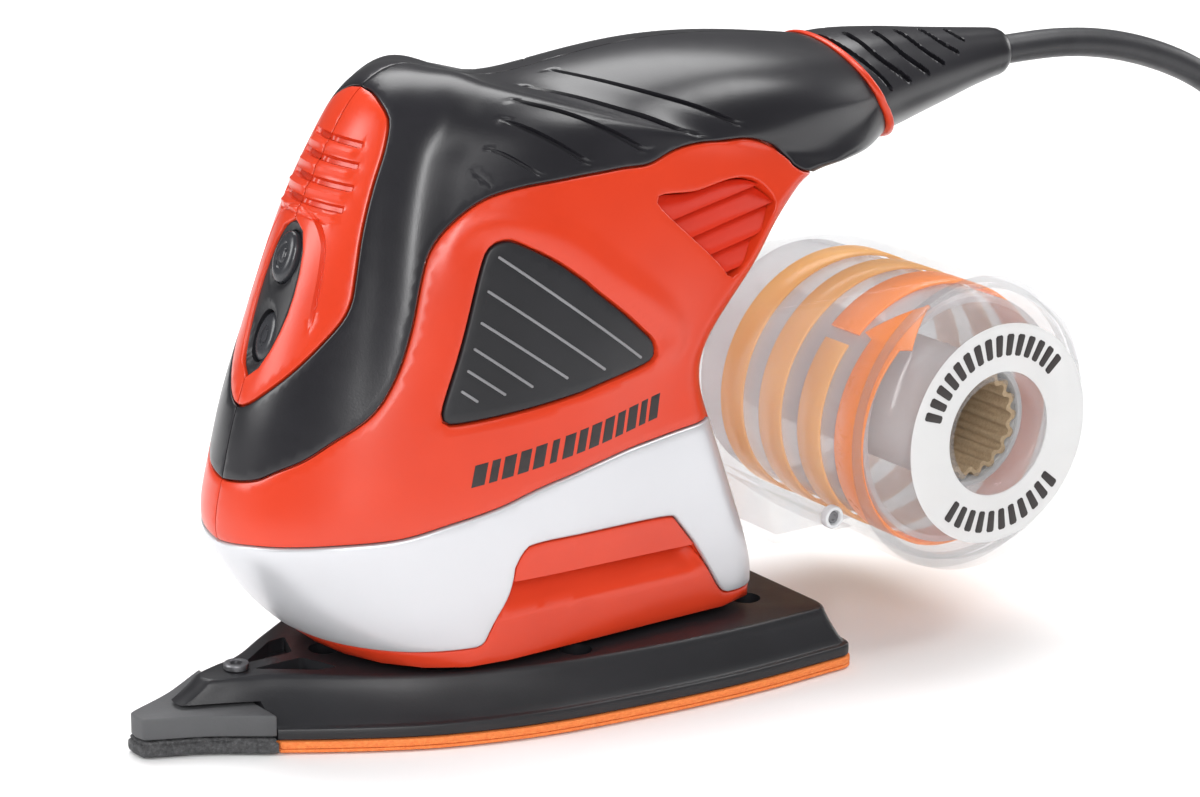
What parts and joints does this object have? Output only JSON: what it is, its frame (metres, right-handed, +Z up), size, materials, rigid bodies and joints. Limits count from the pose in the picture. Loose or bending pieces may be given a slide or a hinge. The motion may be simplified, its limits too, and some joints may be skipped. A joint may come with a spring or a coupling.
{
  "type": "orbital sander",
  "caption": "Corded orbital detail sander with an iron-shaped pad, removable finger tip, soft grip, front switch and a clear cyclonic dust canister at the back.",
  "frame": {"origin": "point of the sanding face under the motor shaft's axis", "axes": "+Z up along the motor shaft, -X towards the pointed tip, +X towards the cord, -Y towards the side with the canister's cap"},
  "size_m": [0.4524, 0.1838, 0.1625],
  "materials": {
    "orange": "satin",
    "soft_black": "satin",
    "black": "satin",
    "silver": "satin",
    "pad_grey": "rough",
    "sheet_orange": "rough",
    "smoke": "clear",
    "amber": "clear",
    "bright_orange": "gloss",
    "light_grey": "satin",
    "tan": "rough",
    "steel": "brushed",
    "dark_steel": "dark",
    "copper": "bright",
    "carbon": "rough",
    "white_plastic": "satin",
    "brass": "bright"
  },
  "bodies": {
    "housing": {"base_plate": "black", "bearing_plate": "black", "brush_holder_left": "brass", "brush_holder_right": "brass", "brush_left": "carbon", "brush_right": "carbon", "bumper": "silver", "collar_ring": "orange", "cord": "soft_black", "cord_clamp": "black", "cord_coil": "soft_black", "cord_guard": "soft_black", "cord_tail": "soft_black", "dust_duct": "black", "dust_seal": "soft_black", "field_coil_left": "copper", "field_coil_right": "copper", "grip_left": "soft_black", "grip_right": "soft_black", "housing_left": "orange", "housing_right": "orange", "lower_bearing": "steel", "pad_leg_1": "soft_black", "pad_leg_2": "soft_black", "pad_leg_3": "soft_black", "pad_leg_4": "soft_black", "plug": "soft_black", "plug_pin_1": "brass", "plug_pin_2": "brass", "side_panel_left": "black", "side_panel_right": "black", "stator": "dark_steel", "switch_bezel": "black", "switch_module": "white_plastic", "upper_bearing": "steel", "upper_bearing_bracket": "black", "vent_grille_left": "orange", "vent_grille_right": "orange"},
    "spindle": {"motor_shaft": "steel", "counterweight": "dark_steel", "fan": "black", "armature": "dark_steel", "commutator": "copper"},
    "pad": {"platen": "black", "foam_pad": "sheet_orange", "sanding_sheet": "sheet_orange", "orbit_bearing": "steel", "tip_screw": "dark_steel"},
    "tip": {"tip_pad": "pad_grey", "tip_finger": "pad_grey"},
    "on_switch": {"on_button": "soft_black"},
    "off_switch": {"off_button": "soft_black"},
    "canister": {"canister_shell": "smoke", "cyclone_tube": "smoke", "swirl_vane": "amber", "swirl_arrow": "bright_orange", "canister_screw": "light_grey"},
    "filter_unit": {"filter": "tan", "filter_frame": "light_grey"},
    "cap": {"end_cap": "light_grey"}
  },
  "joints": [
    {"name": "shaft_spin", "type": "hinge", "parent": "housing", "child": "spindle", "pos_m": [0, 0, 0.06], "axis": [0, 0, 1], "continuous": true},
    {"name": "pad_orbit", "type": "hinge", "parent": "spindle", "child": "pad", "pos_m": [0.001, 0, 0.012], "axis": [0, 0, 1], "continuous": true},
    {"name": "tip_slide", "type": "slide", "parent": "pad", "child": "tip", "axis": [-1, 0, 0], "range_m": [0, 0.03]},
    {"name": "on_press", "type": "slide", "parent": "housing", "child": "on_switch", "axis": [0.927, 0, -0.375], "range_m": [0, 0.002]},
    {"name": "off_press", "type": "slide", "parent": "housing", "child": "off_switch", "axis": [0.927, 0, -0.375], "range_m": [-0.002, 0]},
    {"name": "canister_slide", "type": "slide", "parent": "housing", "child": "canister", "axis": [1, 0, 0], "range_m": [0, 0.06]},
    {"name": "filter_slide", "type": "slide", "parent": "canister", "child": "filter_unit", "axis": [0, -1, 0], "range_m": [0, 0.1]},
    {"name": "cap_twist", "type": "hinge", "parent": "filter_unit", "child": "cap", "pos_m": [0.123, -0.05, 0.057], "axis": [0, -1, 0], "range_deg": [0, 40]}
  ],
  "couplings": [
    {"joint": "pad_orbit", "follows": "shaft_spin", "ratio": -1},
    {"joint": "off_press", "follows": "on_press", "ratio": -1}
  ]
}
